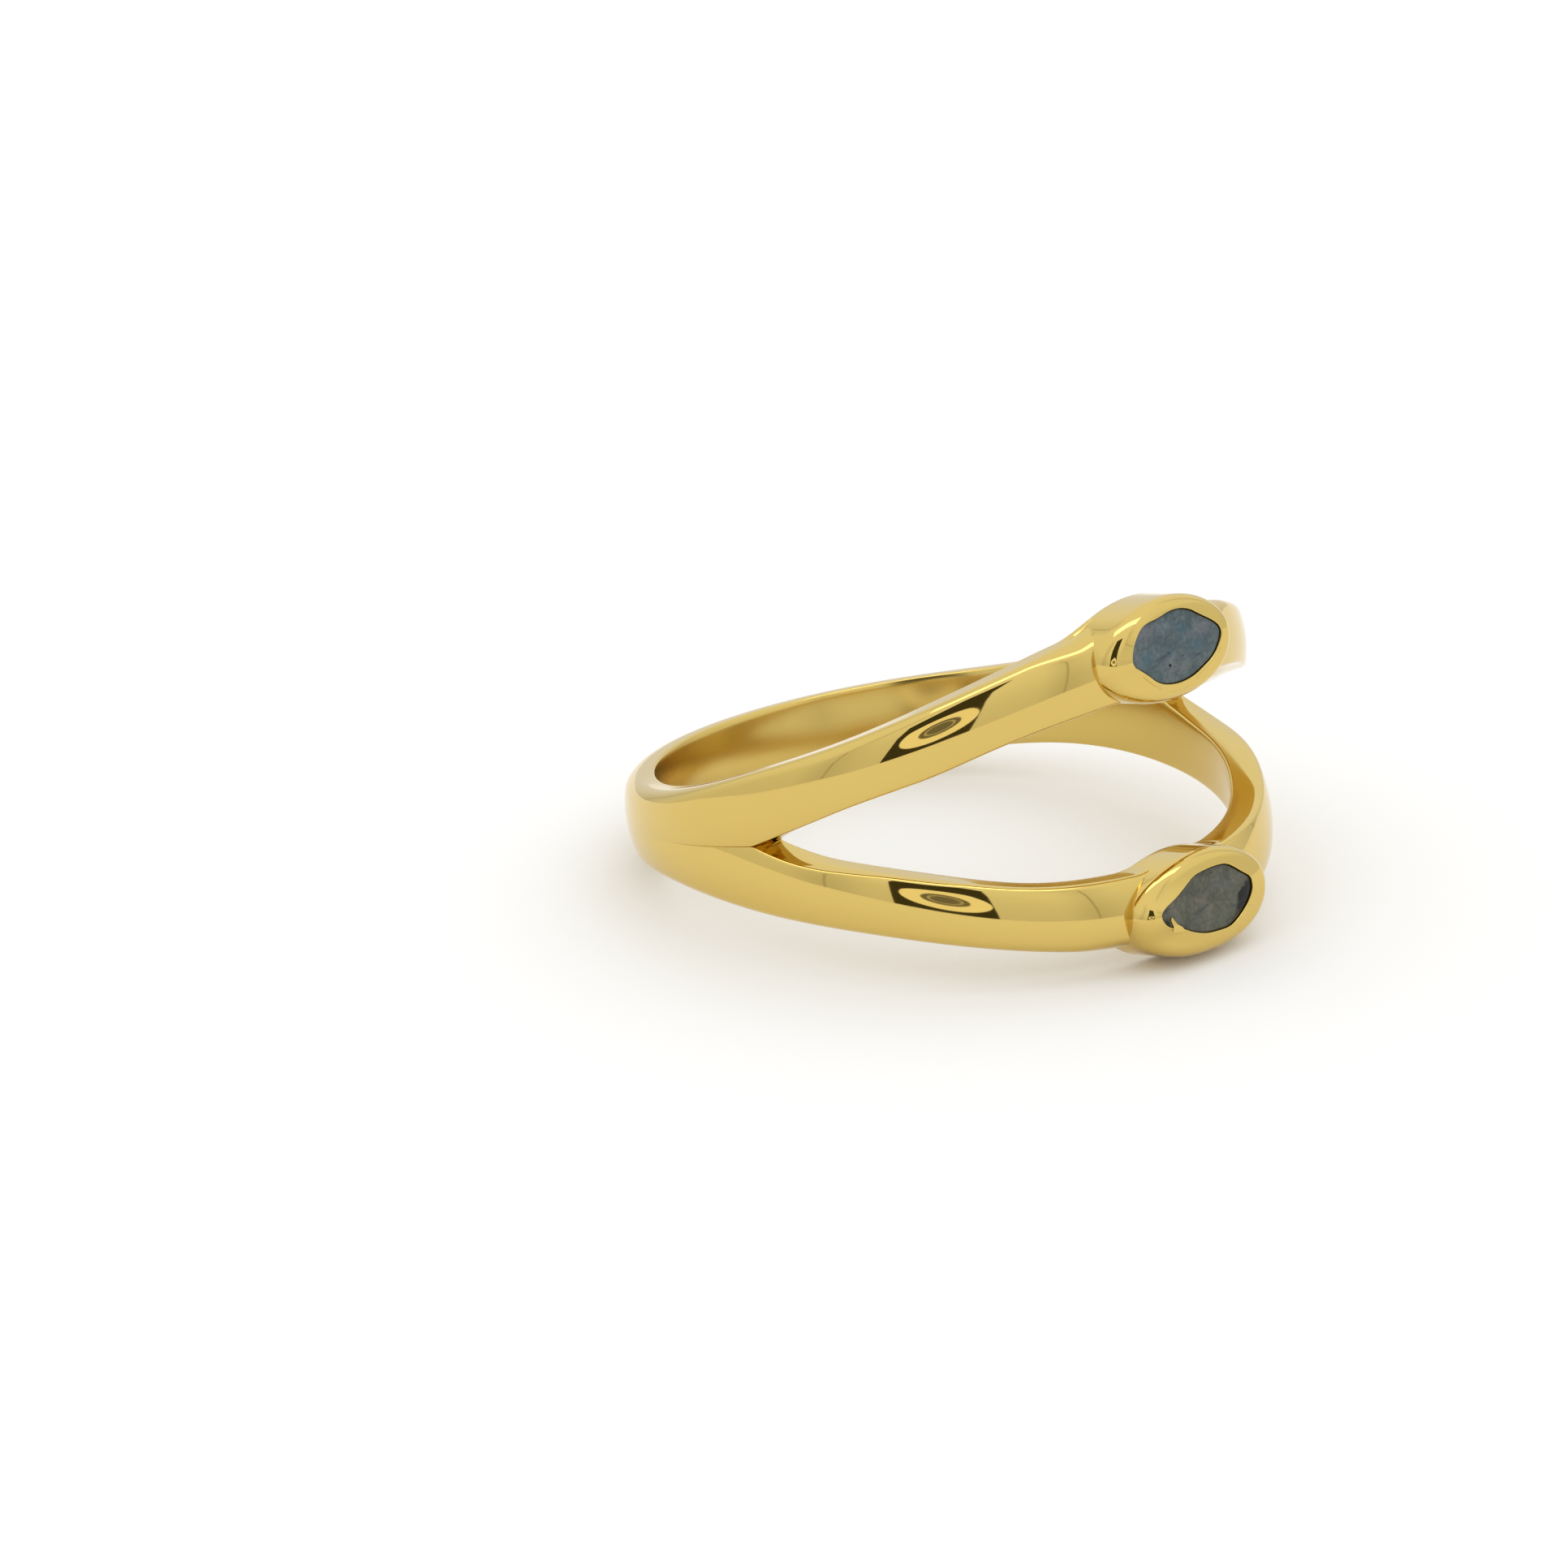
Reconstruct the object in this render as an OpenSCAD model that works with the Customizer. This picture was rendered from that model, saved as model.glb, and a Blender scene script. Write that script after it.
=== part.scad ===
// Split-shank ring with two oval bezels, each holding a flush stone.
// The shank is one plain band at the back. It forks at each side into an upper and a lower arm,
// which run apart to the front and carry one bezel each. The ring lies on its side, as it would
// on a table: it touches the ground under the lower bezel and under the back of the band.

/* [Bore] */
// Diameter of the finger bore
bore_d = 17.3; // [16:0.1:20]

/* [Shank] */
// Radial thickness of the shank at its crest
shank_t = 1.15; // [1:0.05:1.4]
// Radius that rounds the outer edges of the shank
edge_r = 0.28; // [0.2:0.02:0.34]
// Radius of the shallow arc across the outer face
face_r = 3.2; // [3:0.1:6]
// Angle from the front at which the two arms part
fork_angle = 78; // [75:1:84]
// Angle from the front at which the groove behind the fork runs out
groove_end = 104; // [98:1:115]

/* [Bezels] */
// Height of each bezel's centre over the middle plane of the shank
bezel_rise = 3.8; // [3.7:0.1:4.2]
// Length of a bezel along its arm
bezel_l = 5.3; // [5:0.05:5.6]
// Width of a bezel across its arm
bezel_w = 3.05; // [2.9:0.05:3.3]
// Height of a bezel's top over the bore wall
bezel_h = 1.73; // [1.6:0.01:1.9]
// Height over which the flank of a bezel is rounded
shoulder_h = 0.75; // [0.5:0.05:0.8]
// Width of the rounding along the arm
shoulder_l = 0.66; // [0.5:0.02:0.7]
// Width of the rounding across the arm
shoulder_w = 0.42; // [0.3:0.02:0.44]

/* [Stones] */
// Length of a stone along its arm
stone_l = 3.86; // [3.4:0.02:3.9]
// Width of a stone across its arm
stone_w = 2.1; // [1.8:0.02:2.1]
// Depth of a stone from its table to its base
stone_t = 0.9; // [0.7:0.05:1]
// Clearance between a stone and its seat
stone_gap = 0.04; // [0.02:0.01:0.06]

/* [Hidden] */

// Edges of the upper arm: [angle from the front, height of outer edge, height of gap edge]
ARM_EDGES = [
    [0, 4.80, 2.60],
    [16, 4.62, 2.49],
    [32, 4.10, 2.14],
    [48, 3.42, 1.46],
    [62, 2.82, 0.83],
    [fork_angle, 2.24, 0],
    [92, 1.78, 0],
    [110, 1.38, 0],
    [140, 1.32, 0],
    [180, 1.38, 0]
];
OUTER = 1;
GAP = 2;
FORK_ROW = 5;

// Width of the bevel round a stone's table
bevel = 0.13;

// Profile of a stone from its base up: [inset from the girdle outline, depth under the table]
STONE_PROFILE = [
    [0.30, stone_t],
    [0.10, 0.75 * stone_t],
    [0, 0.40 * stone_t],
    [0, bevel],
    [bevel, 0]
];
// Exponent of the stone's outline, where 2 is an ellipse and 1 a rhombus
OUTLINE_POWER = 1.75;

bore_r = bore_d / 2;
crest_r = bore_r + shank_t;
bezel_top = bore_r + bezel_h;
wall_top = bezel_top - shoulder_h;
seat_floor = bezel_top - stone_t - stone_gap;

// The shank and the bezels are first made down to these radii, and the bore cuts them true. The
// bezels reach deeper, so that their flat backs stay clear of the bore wall over their whole length.
rough_shank_r = bore_r - 0.5;
rough_bezel_r = bore_r - 0.75;
bore_length = 4 * bezel_rise;

// Steps of the mesh
arm_steps = 16;
band_steps = 20;
corner_steps = 3;
face_steps = 4;
bezel_sides = 40;
shoulder_steps = 5;
stone_sides = 20;

// Turn over which the crest of the face moves from the middle plane, where the groove ends, to the
// middle of each arm
crest_shift = 49;

// A number kept between 0 and 1, and a smooth rise from 0 to 1
function unit(t) = min(1, max(0, t));
function ease(t) = t * t * (3 - 2 * t);

// Slope of a column of the edge table at row i, where its last row is given
function edge_slope(column, i, last) =
    i == 0 || i == len(ARM_EDGES) - 1 ? 0 :
    let (next = i == last ? i : i + 1)
    (ARM_EDGES[next][column] - ARM_EDGES[i - 1][column])
        / (ARM_EDGES[next][0] - ARM_EDGES[i - 1][0]);

// Row of the edge table that angle a follows
function edge_row(a, last, i = 0) =
    i == last - 1 || a < ARM_EDGES[i + 1][0] ? i : edge_row(a, last, i + 1);

// Height of an edge at angle a from the front: a smooth curve through the table's rows
function edge_height(column, a) =
    let (last = column == GAP ? FORK_ROW : len(ARM_EDGES) - 1)
    a >= ARM_EDGES[last][0] ? ARM_EDGES[last][column] :
    let (
        i = edge_row(a, last),
        from = ARM_EDGES[i],
        to = ARM_EDGES[i + 1],
        turn = to[0] - from[0],
        t = (a - from[0]) / turn
    )
    from[column] + (to[column] - from[column]) * ease(t)
        + turn * t * (1 - t) * ((1 - t) * edge_slope(column, i, last)
        - t * edge_slope(column, i + 1, last));

// Half of the shank's section at angle a, as [radius, height] points. It runs from the gap edge
// of the inner wall, over the outer edge and the face, to the gap edge of the face.
function half_section(a) =
    let (
        top = edge_height(OUTER, a),
        foot = edge_height(GAP, a),
        crest = ease(unit((groove_end - a) / crest_shift)) * (top + foot) / 2,
        fade = unit((groove_end - a) / (groove_end - fork_angle)),
        turn = 90 / corner_steps,
        rise = (top - foot - 2 * edge_r) / face_steps
    )
    concat(
        [[rough_shank_r, foot], [rough_shank_r, top]],
        [for (k = [0:corner_steps])
            face_point(top - edge_r * (1 - cos(k * turn)), crest, edge_r * (1 - sin(k * turn)))],
        [for (k = [1:face_steps - 1]) face_point(top - edge_r - k * rise, crest, 0)],
        [for (k = [corner_steps:-1:0])
            face_point(foot + edge_r * (1 - cos(k * turn)), crest, fade * edge_r * (1 - sin(k * turn)))]
    );

// Point of the outer face at height z, sunk by the rounding of a corner
function face_point(z, crest, sunk) = [crest_r - pow(z - crest, 2) / (2 * face_r) - sunk, z];

// Point of the ring at angle a from the front, where the front faces -Y
function around(a, p, side) = [p[0] * sin(a), -p[0] * cos(a), side * p[1]];

// Angles of the stations round the ring
half_turn = concat(
    [for (i = [0:arm_steps]) fork_angle * i / arm_steps],
    [for (i = [1:band_steps]) fork_angle + (180 - fork_angle) * i / band_steps]
);
stations = concat([for (i = [len(half_turn) - 2:-1:1]) -half_turn[i]], half_turn);
sections = [for (a = stations) half_section(abs(a))];
section_size = len(sections[0]);
loop_size = len(stations) * section_size;

shank_points = [
    for (side = [1, -1], i = [0:len(stations) - 1], p = sections[i]) around(stations[i], p, side)
];

// Index of point k at station i. Behind the fork both halves share the points on the middle plane.
function shank_index(side, i, k) =
    let (shared = abs(stations[i]) >= fork_angle && (k == 0 || k == section_size - 1))
    (side > 0 || shared ? 0 : loop_size) + i * section_size + k;

// The two triangles between points k and m of stations i and j, turned to face outwards
function shank_strip(side, i, j, k, m) =
    let (
        p = shank_index(side, i, k),
        q = shank_index(side, j, k),
        r = shank_index(side, j, m),
        s = shank_index(side, i, m)
    )
    side > 0 ? [[p, q, r], [p, r, s]] : [[p, r, q], [p, s, r]];

shank_faces = [
    for (side = [1, -1], i = [0:len(stations) - 1])
        let (j = (i + 1) % len(stations))
        for (k = [0:section_size - 1])
            let (closing = k == section_size - 1)
            if (!closing || max(abs(stations[i]), abs(stations[j])) <= fork_angle)
                each shank_strip(side, i, j, k, (k + 1) % section_size)
];

// Oval at radius r from the bore axis: the bezel's outline, less a share of the rounding's width
function bezel_ring(r, share) = [
    for (k = [0:bezel_sides - 1])
        let (turn = 360 * k / bezel_sides)
        [
            (bezel_l / 2 - share * shoulder_l) * cos(turn),
            -r,
            (bezel_w / 2 - share * shoulder_w) * sin(turn)
        ]
];

bezel_rings = concat(
    [bezel_ring(rough_bezel_r, 0)],
    [for (k = [0:shoulder_steps])
        let (turn = 90 * k / shoulder_steps)
        bezel_ring(wall_top + shoulder_h * sin(turn), 1 - cos(turn))]
);

// Outline of a stone, inset all round: an oval drawn out towards its two ends
function power(v) = sign(v) * pow(abs(v), 2 / OUTLINE_POWER);
function stone_outline(inset) = [
    for (k = [0:stone_sides - 1])
        let (turn = 360 * k / stone_sides)
        [(stone_l / 2 - inset) * power(cos(turn)), (stone_w / 2 - inset) * power(sin(turn))]
];
stone_rings = [
    for (row = STONE_PROFILE)
        [for (p = stone_outline(row[0])) [p[0], row[1] - bezel_top, p[1]]]
];

// Closed solid through a stack of rings with the same number of points
module stack(rings) {
    n = len(rings[0]);
    last = len(rings) - 1;
    polyhedron(
        points = [for (ring = rings, p = ring) p],
        faces = concat(
            [[for (k = [0:n - 1]) k]],
            [for (i = [0:last - 1], k = [0:n - 1])
                let (p = i * n + k, q = i * n + (k + 1) % n)
                each [[p, q + n, q], [p, p + n, q + n]]],
            [[for (k = [n - 1:-1:0]) last * n + k]]
        )
    );
}

// Angle at which the ring leans back when it lies on the ground. The lower bezel's foot and the
// rounded edge of the band's back then touch the same plane.
back_edge = edge_height(OUTER, 180) - edge_r;
drop = bezel_rise + bezel_w / 2 - back_edge;
span = bore_r + crest_r - back_edge * back_edge / (2 * face_r) - edge_r;
rest_lean = acos(edge_r / norm([drop, span])) - atan2(span, drop);

// Depth and height of a point once the ring leans back
function leaned(p) = [
    p[1] * cos(rest_lean) + p[2] * sin(rest_lean),
    p[2] * cos(rest_lean) - p[1] * sin(rest_lean)
];

// Points that bound the ring in depth and height
outer_points = [
    for (p = concat(
        [for (q = shank_points) if (norm([q[0], q[1]]) > bore_r) q],
        [[0, -bore_r, bezel_rise + bezel_w / 2], [0, -bore_r, -bezel_rise - bezel_w / 2]],
        [for (i = [1:len(bezel_rings) - 1], q = bezel_rings[i], side = [1, -1])
            [q[0], q[1], q[2] + side * bezel_rise]]
    )) leaned(p)
];
depths = [for (p = outer_points) p[0]];
rest_shift = -(min(depths) + max(depths)) / 2;
rest_lift = -min([for (p = outer_points) p[1]]);

// Puts a piece of the upright ring where it lies, with the ground at height 0
module laid() {
    translate([0, rest_shift, rest_lift]) rotate([-rest_lean, 0, 0]) children();
}

// Puts a piece at the upper bezel (side 1) or the lower one (side -1)
module at_bezel(side) {
    translate([0, 0, side * bezel_rise]) children();
}

module shank() {
    polyhedron(points = shank_points, faces = shank_faces);
}

module bezel(side) {
    at_bezel(side) stack(bezel_rings);
}

module seat(side) {
    at_bezel(side) rotate([90, 0, 0]) translate([0, 0, seat_floor])
        linear_extrude(height = bezel_h) polygon(stone_outline(-stone_gap));
}

module bore() {
    cylinder(r = bore_r, h = bore_length, center = true, $fn = 180);
}

module split_band() {
    color("#cda645") laid() difference() {
        union() {
            shank();
            bezel(1);
            bezel(-1);
        }
        bore();
        seat(1);
        seat(-1);
    }
}

module upper_stone() {
    color("#667a8a") laid() at_bezel(1) stack(stone_rings);
}

module lower_stone() {
    color("#5c605f") laid() at_bezel(-1) stack(stone_rings);
}

split_band();
upper_stone();
lower_stone();
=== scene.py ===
"""Polished split-shank ring with two labradorite tablets, lying on a pale studio table.

The ring is worked out upright, in millimetres: its bore runs along Z and its two stones face -Y.
The last step of each piece leans it back to where the solids lie, in metres.
"""

import logging
import math
from dataclasses import dataclass
from enum import Enum
from typing import Any, Callable, Iterable, Sequence

import bmesh
import bpy
import numpy as np
from mathutils import Matrix, Vector


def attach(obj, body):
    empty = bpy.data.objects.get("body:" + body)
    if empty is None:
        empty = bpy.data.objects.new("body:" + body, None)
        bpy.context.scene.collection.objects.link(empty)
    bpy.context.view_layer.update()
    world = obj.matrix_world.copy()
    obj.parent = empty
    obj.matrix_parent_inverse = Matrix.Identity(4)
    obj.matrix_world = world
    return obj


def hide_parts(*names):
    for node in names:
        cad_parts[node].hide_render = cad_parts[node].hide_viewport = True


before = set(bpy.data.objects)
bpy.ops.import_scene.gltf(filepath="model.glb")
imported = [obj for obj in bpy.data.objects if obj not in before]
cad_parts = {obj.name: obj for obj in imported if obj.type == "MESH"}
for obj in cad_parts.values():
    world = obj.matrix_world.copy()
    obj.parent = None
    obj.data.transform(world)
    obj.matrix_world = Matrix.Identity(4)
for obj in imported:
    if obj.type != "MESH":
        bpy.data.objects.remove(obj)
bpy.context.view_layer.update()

MM = 0.001
LOG = logging.getLogger("ring")
Point = tuple[float, float]
Colour = tuple[float, float, float]
# How near to a plane a point counts as on it, and how near two points count as one, in mm.
LEVEL = 1e-6
WELD = 1e-4
# Most of a noise texture's values lie in this span.
NOISE_SPAN = (0.3, 0.7)
# Settings that several nodes share.
SMOOTH = {"interpolation_type": "SMOOTHSTEP"}
PLACED = {"vector_type": "TEXTURE"}
RGBA = {"data_type": "RGBA"}
# Turns a flat sheet upright, so that it faces along Y.
UPRIGHT = Matrix.Rotation(math.radians(90), 3, "X")


def unit(value: float) -> float:
    """Returns value kept between 0 and 1."""
    return min(1.0, max(0.0, value))


def ease(value: float) -> float:
    """Returns a smooth rise from 0 to 1 as value goes from 0 to 1."""
    value = unit(value)
    return value * value * (3.0 - 2.0 * value)


def passing(value: float, span: Point) -> float:
    """Returns a smooth rise from 0 to 1 while value goes through a span."""
    return ease((value - span[0]) / (span[1] - span[0]))


def blend(share: float, first: float, second: float) -> float:
    """Returns the value that lies a share of the way from the first to the second."""
    return first + (second - first) * share


def quarter_round(steps: int) -> list[Point]:
    """Returns points of a quarter circle of radius 1, as 1 - sine and 1 - cosine of the turn."""
    turns = [math.radians(90 * k / steps) for k in range(steps + 1)]
    return [(1 - math.sin(turn), 1 - math.cos(turn)) for turn in turns]


class SmoothCurve:
    """Cubic spline through a few points, level at each end that isn't left free."""

    def __init__(self, points: Sequence[Point], free_end: bool = False) -> None:
        """Works out the curve.

        Args:
            points: (place, value) pairs in rising order of place.
            free_end: True if the curve runs out straight at its last point, and not level.
        """
        self.places = [p[0] for p in points]
        self.values = [p[1] for p in points]
        count = len(points)
        steps = np.diff(self.places)
        slopes = np.diff(self.values) / steps
        rows = np.zeros((count, count))
        sums = np.zeros(count)
        rows[0, 0], rows[0, 1], sums[0] = 2 * steps[0], steps[0], 6 * slopes[0]
        rows[-1, -1] = 1.0
        if not free_end:
            rows[-1, -1], rows[-1, -2], sums[-1] = 2 * steps[-1], steps[-1], -6 * slopes[-1]
        for i in range(1, count - 1):
            rows[i, i - 1 : i + 2] = steps[i - 1], 2 * (steps[i - 1] + steps[i]), steps[i]
            sums[i] = 6 * (slopes[i] - slopes[i - 1])
        self.bends = np.linalg.solve(rows, sums)

    def at(self, place: float) -> float:
        """Returns the curve's value at a place, or its end value beyond either end."""
        if place <= self.places[0]:
            return self.values[0]
        if place >= self.places[-1]:
            return self.values[-1]
        i = max(k for k, start in enumerate(self.places[:-1]) if place >= start)
        step = self.places[i + 1] - self.places[i]
        b = (place - self.places[i]) / step
        a = 1.0 - b
        bend = (a**3 - a) * self.bends[i] + (b**3 - b) * self.bends[i + 1]
        return a * self.values[i] + b * self.values[i + 1] + bend * step * step / 6.0


def cut_corners(corners: Sequence[Point], rounds: int) -> list[Point]:
    """Rounds a closed outline by cutting its corners.

    Args:
        corners: the outline's corners in order.
        rounds: how many times every corner is cut.

    Returns:
        The rounded outline, with more points.
    """
    outline = list(corners)
    for _ in range(rounds):
        finer: list[Point] = []
        for (ax, az), (bx, bz) in zip(outline, outline[1:] + outline[:1]):
            finer.append((0.75 * ax + 0.25 * bx, 0.75 * az + 0.25 * bz))
            finer.append((0.25 * ax + 0.75 * bx, 0.25 * az + 0.75 * bz))
        outline = finer
    return outline


def reach_towards(outline: Sequence[Point], angle: float) -> float:
    """Returns how far a closed outline reaches from its centre in one direction.

    Args:
        outline: points round the centre.
        angle: the direction, in radians from +X.

    Returns:
        The distance to the outline.
    """
    dx, dz = math.cos(angle), math.sin(angle)
    best = 0.0
    for (ax, az), (bx, bz) in zip(outline, list(outline[1:]) + [outline[0]]):
        ex, ez = bx - ax, bz - az
        cross = dx * ez - dz * ex
        if cross == 0.0:
            continue
        far = (ax * ez - az * ex) / cross
        along = (ax * dz - az * dx) / cross
        if far > 0 and -LEVEL <= along <= 1 + LEVEL:
            best = max(best, far)
    return best


@dataclass(frozen=True)
class RestPose:
    """How the upright ring lies: it leans back onto its lower bezel and the band's back edge."""

    lean_deg: float = 12.3544
    shift_mm: float = 0.770534
    lift_mm: float = 3.35095

    def matrix(self) -> Matrix:
        """Returns the matrix from the upright ring in millimetres to the laid ring in metres."""
        lean = Matrix.Rotation(-math.radians(self.lean_deg), 4, "X")
        place = Matrix.Translation((0.0, self.shift_mm, self.lift_mm))
        return Matrix.Scale(MM, 4) @ place @ lean


class Side(Enum):
    """The two arms, by the sign of their height over the middle plane."""

    UPPER = 1
    LOWER = -1


def stack_rows(mesh: bmesh.types.BMesh, rows: Sequence[Sequence[Vector]]) -> None:
    """Grows a closed shell from a circle: each row of points is the last one extruded and moved.

    Args:
        mesh: the mesh that the shell is added to.
        rows: rows with the same number of points. The first and the last close to a point.
    """
    turn = mesh.verts.layers.int.new("turn")
    circle = bmesh.ops.create_circle(mesh, cap_ends=False, segments=len(rows[0]), radius=1.0)
    ring = list(circle["verts"])
    for k, vert in enumerate(ring):
        vert[turn] = k
    first = ring
    for number, row in enumerate(rows):
        if number:
            held = set(ring)
            edges = [e for e in {e for v in ring for e in v.link_edges} if held.issuperset(e.verts)]
            grown = bmesh.ops.extrude_edge_only(mesh, edges=edges)["geom"]
            ring = [g for g in grown if isinstance(g, bmesh.types.BMVert)]
        for vert in ring:
            vert.co = row[vert[turn]]
    for end, row in ((first, rows[0]), (ring, rows[-1])):
        middle = sum(row, Vector()) / len(row)
        bmesh.ops.pointmerge(mesh, verts=end, merge_co=middle)
    bmesh.ops.recalc_face_normals(mesh, faces=mesh.faces)


def new_object(name: str, mesh: bmesh.types.BMesh) -> bpy.types.Object:
    """Makes an object of a mesh and links it to the scene.

    Args:
        name: the object's name.
        mesh: the mesh, which is freed.

    Returns:
        The new object, at the origin.
    """
    data = bpy.data.meshes.new(name)
    mesh.to_mesh(data)
    mesh.free()
    made = bpy.data.objects.new(name, data)
    bpy.context.scene.collection.objects.link(made)
    return made


# The gap's edge on the outer face of each arm, from the front to the tip of the fork.
FACE_EDGES: dict[Side, tuple[Point, ...]] = {
    Side.UPPER: (
        (0, 2.60), (16, 2.49), (32, 2.14), (48, 1.50), (62, 0.97),
        (68, 0.67), (72, 0.47), (76, 0.27), (79, 0.12), (82, 0.0),
    ),
    Side.LOWER: (
        (0, 2.60), (16, 2.49), (32, 2.14), (48, 1.50), (58, 1.09), (64, 0.92),
        (68, 0.79), (71, 0.66), (74, 0.50), (76.5, 0.345), (79, 0.175), (82, 0.0),
    ),
}
# The radius of that edge, at the front and at the fork.
LOW_EDGE_R: dict[Side, Point] = {Side.UPPER: (0.1, 0.05), Side.LOWER: (0.15, 0.08)}
# How hollow the gap's wall is where it opens towards the outer face, on the arm and at the fork.
FLANK_BEND: dict[Side, Point] = {Side.UPPER: (1.6, 1.1), Side.LOWER: (5.0, 1.8)}


@dataclass
class Shank:
    """The band and its two arms: one section that changes its form round the ring.

    Places round the ring are degrees from its front. A span is the stretch over which a form
    changes into the next. The curves hold a height over the middle plane for each place.
    """

    bore_r: float = 8.65
    thickness: float = 1.15
    face_r: float = 3.2
    front_edge_r: float = 0.28
    back_edge_r: float = 0.42
    back_edge_span: Point = (78.0, 108.0)
    shoulder_up: float = 0.42
    shoulder_deep: float = 0.68
    shoulder_span: Point = (15.0, 27.0)
    groove_edge_r: float = 0.03
    crisp_span: Point = (50.0, 70.0)
    inner_edge_r: float = 0.07
    inner_face_r: float = 9.0
    inner_rise: float = 0.03
    crown_span: Point = (14.0, 34.0)
    flare_span: Point = (40.0, 52.0)
    bend_span: Point = (62.0, 76.0)
    fork_angle: float = 78.75
    notch_end: float = 82.0
    notch_power: float = 2.6
    groove_end: float = 104.0
    groove_depth: float = 0.05
    inner_groove: float = 4.0
    blunt: float = 1.0
    flank_steps: int = 7
    stations: int = 480
    stretches: tuple[Point, ...] = ((0, 0.0), (92, 70.0), (164, 88.0), (240, 180.0))
    corner_steps: int = 8
    inner_corner_steps: int = 3
    face_steps: int = 10
    wall_steps: int = 8
    support: float = 0.04
    least_floor: float = 0.12
    least_reach: float = 0.01
    least_wall: float = 0.001
    middle_zone: float = 0.001
    outer_edge: tuple[Point, ...] = (
        (0, 4.80), (16, 4.62), (32, 4.10), (48, 3.42), (62, 2.82),
        (78, 2.24), (92, 1.78), (110, 1.38), (140, 1.32), (180, 1.38),
    )
    gap_edge: tuple[Point, ...] = (
        (0, 2.60), (16, 2.49), (32, 2.14), (48, 1.46), (62, 0.885), (70, 0.555), (76, 0.21), (79, 0.02),
    )
    crest: tuple[Point, ...] = (
        (0, 3.70), (16, 3.555), (32, 3.12), (48, 2.44), (62, 1.80), (70, 1.475), (78, 1.13),
        (85, 0.88), (92, 0.67), (104, 0.36), (125, 0.07), (150, 0.0), (180, 0.0),
    )
    bezel_rise: float = 3.8
    bezel_half: Point = (2.425, 1.525)
    outer_fillet: Point = (1.45, 2.75)
    gap_fillet: Point = (1.0, 2.0)
    fillet_pull: float = 0.8
    fillet_inside: float = 0.15
    fillet_step: float = 0.01

    def __post_init__(self) -> None:
        """Works out the edge curves and their fillets into the bezels."""
        self.outer_curve = SmoothCurve(self.outer_edge)
        self.gap_curve = SmoothCurve(self.gap_edge, free_end=True)
        self.crest_curve = SmoothCurve(self.crest)
        self.face_curves = {side: SmoothCurve(FACE_EDGES[side], free_end=True) for side in Side}
        self.outer_flank = self.flank(self.outer_curve.at, 1, *self.outer_fillet)
        self.gap_flank = self.flank(self.gap_at, -1, *self.gap_fillet)

    def gap_at(self, angle: float) -> float:
        """Returns the height of the gap's edge, which closes with a blunt end at the fork."""
        if angle >= self.fork_angle:
            return 0.0
        past = unit((angle - self.fork_angle + self.blunt) / self.blunt)
        return self.gap_curve.at(angle) * math.sqrt(1.0 - past * past)

    def flare_at(self, angle: float, side: Side) -> float:
        """Returns how much further the gap opens at the outer face than at the bore."""
        if angle >= self.notch_end:
            return 0.0
        wider = self.face_curves[side].at(angle) - self.gap_at(angle)
        return passing(angle, self.flare_span) * max(0.0, wider)

    def edge_r(self, angle: float) -> float:
        """Returns the outer edge's radius, which grows towards the back of the band."""
        return blend(passing(angle, self.back_edge_span), self.front_edge_r, self.back_edge_r)

    def shoulder(self, angle: float) -> float:
        """Returns how much more widely the outer edge is rounded, which it is beside the bezels."""
        return 1.0 - passing(angle, self.shoulder_span)

    def low_edge_r(self, angle: float, side: Side) -> float:
        """Returns the radius of the edge on the gap's side, which is crisp at the fork."""
        worn = blend(passing(angle, self.crisp_span), *LOW_EDGE_R[side])
        return blend(passing(angle, (self.fork_angle, self.notch_end)), worn, self.groove_edge_r)

    def notch_depth(self, angle: float) -> float:
        """Returns how deep the notch behind the fork is, which runs out as a fine groove."""
        if angle >= self.notch_end:
            return self.groove_depth * unit((self.groove_end - angle) / (self.groove_end - self.notch_end))
        left = 1.0 - (angle - self.fork_angle) / (self.notch_end - self.fork_angle)
        return self.groove_depth + (self.thickness - 2 * self.groove_depth) * left**self.notch_power

    def bore_wall(self, angle: float, height: float, crest: float) -> float:
        """Returns the radius of the bore's wall, which is slightly crowned beside the bezels."""
        crown = (height - crest) ** 2 / (2 * self.inner_face_r) - self.inner_rise
        return self.bore_r + crown * passing(angle, self.crown_span)

    def oval(self, x: float) -> float:
        """Returns the half width of a bezel at a distance along its arm."""
        half_l, half_w = self.bezel_half
        return half_w * math.sqrt(max(0.0, 1.0 - (x / half_l) ** 2))

    def flank(
        self, edge: Callable[[float], float], way: int, near: float, far: float
    ) -> Callable[[float, float], float]:
        """Makes the plan curve that carries an arm's edge into the bezel's wall.

        Args:
            edge: the edge's height by angle.
            way: 1 for the outer edge, -1 for the gap edge.
            near: distance along the arm at which the curve meets the bezel.
            far: distance along the arm at which it leaves the arm's own edge.

        Returns:
            A function from the angle and the distance along the arm to the edge's height.
        """
        mid_r = self.bore_r + self.thickness / 2
        tiny = self.fillet_step

        def arm(x: float) -> float:
            return edge(math.degrees(math.asin(min(1.0, x / mid_r))))

        def wall(x: float) -> float:
            return self.bezel_rise + way * self.oval(x)

        start, end = wall(near), arm(far)
        start_slope = self.fillet_pull * (wall(near + tiny) - wall(near - tiny)) / (2 * tiny)
        end_slope = (arm(far + tiny) - arm(far - tiny)) / (2 * tiny)
        span = far - near

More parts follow.
